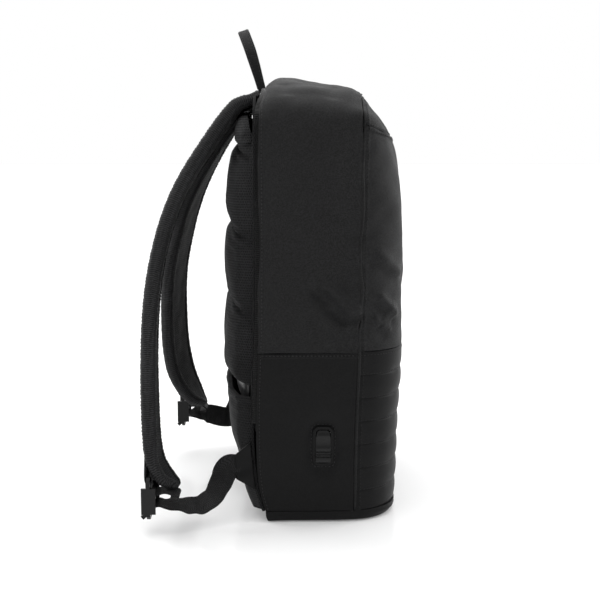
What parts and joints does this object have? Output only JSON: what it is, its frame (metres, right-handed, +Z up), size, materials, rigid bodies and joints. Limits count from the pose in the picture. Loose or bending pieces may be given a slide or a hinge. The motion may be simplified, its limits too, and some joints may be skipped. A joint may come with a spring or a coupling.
{
  "type": "laptop backpack",
  "caption": "Upright laptop backpack with a ribbed coated lower front, padded mesh back, luggage sleeve, curved padded shoulder straps with buckles and a grab handle.",
  "frame": {"origin": "middle of the underside of the base, on the surface that the bag stands on", "axes": "+Z up; the ribbed front faces -Y and the wearer's back is towards +Y; -X is the wearer's left, the side with the port"},
  "size_m": [0.3414, 0.2724, 0.5075],
  "materials": {
    "woven_fabric": "matte",
    "coated_fabric": "satin",
    "mesh_fabric": "matte",
    "satin_fabric": "satin",
    "webbing": "matte",
    "plastic": "satin"
  },
  "bodies": {
    "root": {"main_gusset": "woven_fabric", "front_lower_panel": "coated_fabric", "front_upper_panel": "woven_fabric", "front_yoke": "woven_fabric", "base_panel": "coated_fabric", "back_board": "satin_fabric", "back_pad": "mesh_fabric", "luggage_sleeve": "mesh_fabric", "sleeve_lining": "satin_fabric", "front_piping": "coated_fabric", "zip_tape": "webbing", "zip_coil": "plastic", "side_lower_left": "coated_fabric", "side_lower_right": "coated_fabric", "shoulder_strap_left": "woven_fabric", "shoulder_strap_right": "woven_fabric", "buckle_tab_left": "webbing", "buckle_tab_right": "webbing", "buckle_left": "plastic", "buckle_right": "plastic", "adjuster_webbing_left": "webbing", "adjuster_webbing_right": "webbing", "corner_gusset_left": "coated_fabric", "corner_gusset_right": "coated_fabric", "grab_handle": "webbing", "port_frame": "plastic", "port_cover": "plastic"}
  },
  "joints": []
}
